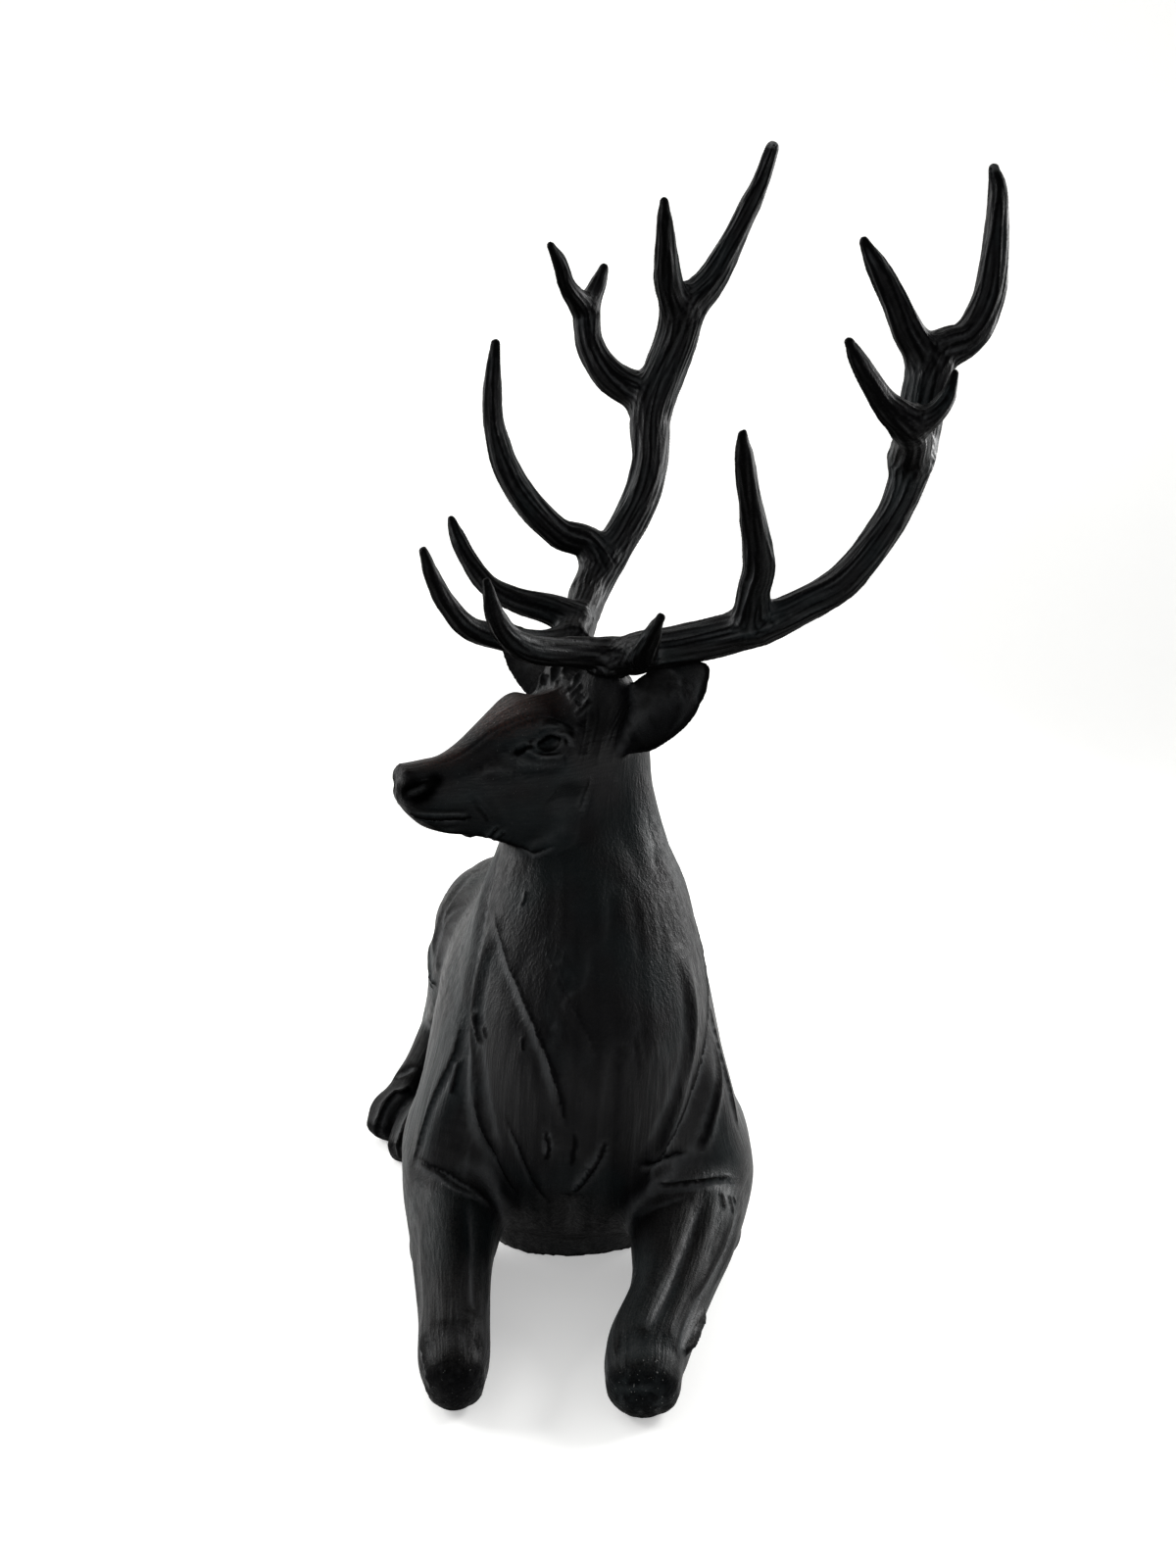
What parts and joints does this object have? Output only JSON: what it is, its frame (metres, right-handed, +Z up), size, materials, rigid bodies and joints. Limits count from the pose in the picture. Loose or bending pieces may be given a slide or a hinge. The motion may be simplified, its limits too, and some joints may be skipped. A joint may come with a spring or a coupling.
{
  "type": "cast iron stag statue",
  "caption": "Reclining stag garden statue with folded forelegs, head raised and turned to its right, and branching antlers",
  "frame": {"origin": "on the flat underside, at the front of the brisket, midway between the forelegs", "axes": "+Z up, -Y the way the stag faces, +X the stag's left side"},
  "size_m": [0.8221, 1.3158, 1.5287],
  "materials": {
    "body_iron": "sand cast, satin black paint, weathered, faint rust bloom and dust",
    "antler_iron": "sand cast with long furrows, satin black paint, chipped bare at the tips"
  },
  "bodies": {
    "root": {"stag_body": "body_iron", "antler_left": "antler_iron", "antler_right": "antler_iron"}
  },
  "joints": []
}
